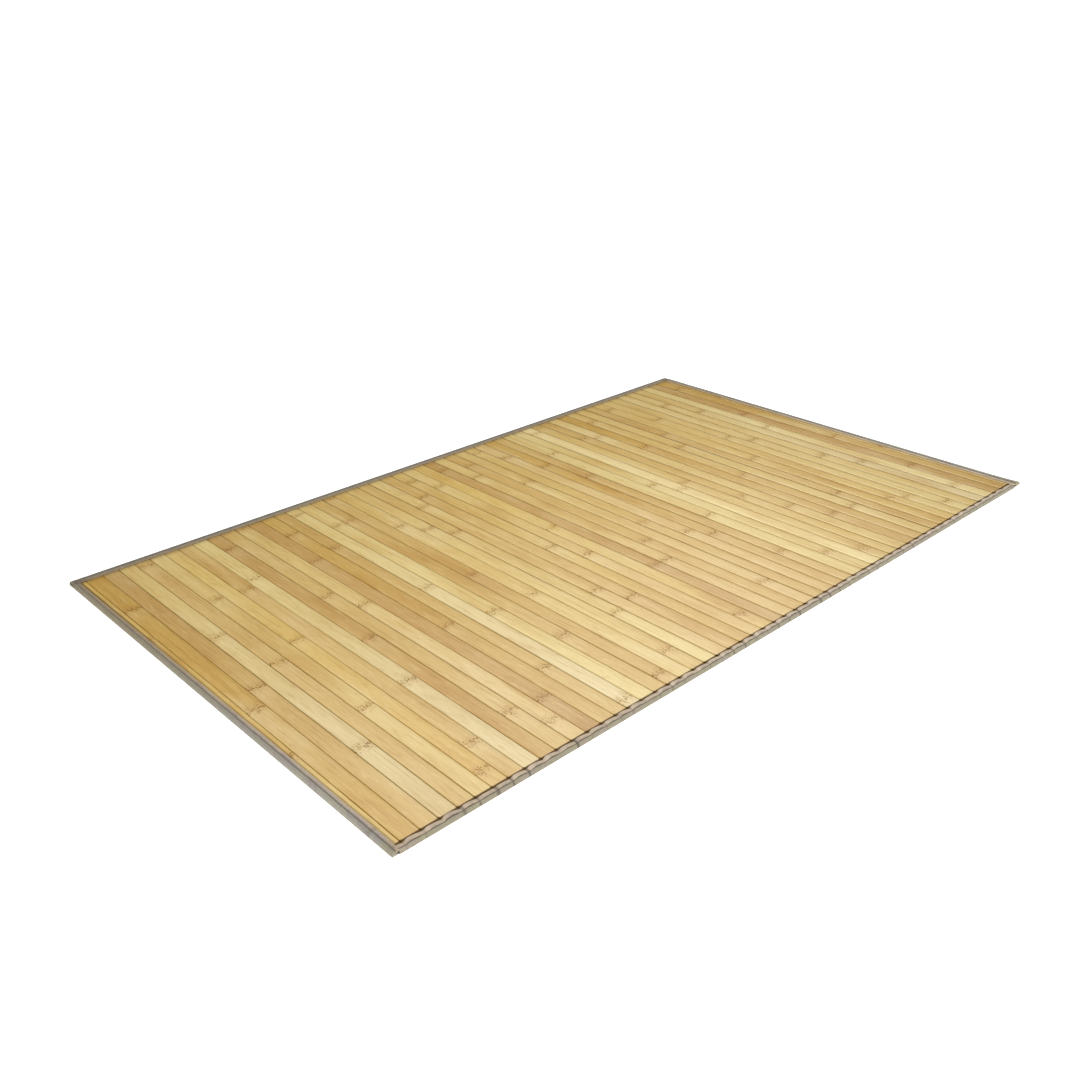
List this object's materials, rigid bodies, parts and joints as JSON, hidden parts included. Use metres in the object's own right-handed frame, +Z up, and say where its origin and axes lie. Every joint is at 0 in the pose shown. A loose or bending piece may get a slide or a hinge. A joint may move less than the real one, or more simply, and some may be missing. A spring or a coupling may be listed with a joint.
{
  "type": "bamboo mat",
  "caption": "Flat rectangular floor mat of split-bamboo slats laid side by side on a ground cloth, with a woven tape binding folded round its whole rim.",
  "frame": {"origin": "under the middle of the mat, on the surface that it lies on", "axes": "+X along the long side, across the slats, towards the end with the wider binding; +Y along the slats, towards the long side with the wider binding; +Z up"},
  "size_m": [0.986, 0.6, 0.0055],
  "materials": {
    "bamboo": "satin",
    "ground": "matt",
    "binding": "matt woven"
  },
  "bodies": {
    "root": {"slat_01": "bamboo", "slat_02": "bamboo", "slat_03": "bamboo", "slat_04": "bamboo", "slat_05": "bamboo", "slat_06": "bamboo", "slat_07": "bamboo", "slat_08": "bamboo", "slat_09": "bamboo", "slat_10": "bamboo", "slat_11": "bamboo", "slat_12": "bamboo", "slat_13": "bamboo", "slat_14": "bamboo", "slat_15": "bamboo", "slat_16": "bamboo", "slat_17": "bamboo", "slat_18": "bamboo", "slat_19": "bamboo", "slat_20": "bamboo", "slat_21": "bamboo", "slat_22": "bamboo", "slat_23": "bamboo", "slat_24": "bamboo", "slat_25": "bamboo", "slat_26": "bamboo", "slat_27": "bamboo", "slat_28": "bamboo", "slat_29": "bamboo", "slat_30": "bamboo", "slat_31": "bamboo", "slat_32": "bamboo", "slat_33": "bamboo", "slat_34": "bamboo", "slat_35": "bamboo", "slat_36": "bamboo", "slat_37": "bamboo", "slat_38": "bamboo", "slat_39": "bamboo", "slat_40": "bamboo", "slat_41": "bamboo", "slat_42": "bamboo", "slat_43": "bamboo", "slat_44": "bamboo", "slat_45": "bamboo", "slat_46": "bamboo", "slat_47": "bamboo", "slat_48": "bamboo", "slat_49": "bamboo", "slat_50": "bamboo", "slat_51": "bamboo", "slat_52": "bamboo", "slat_53": "bamboo", "slat_54": "bamboo", "slat_55": "bamboo", "ground_cloth": "ground", "binding_front": "binding", "binding_back": "binding", "binding_left": "binding", "binding_right": "binding"}
  },
  "joints": []
}
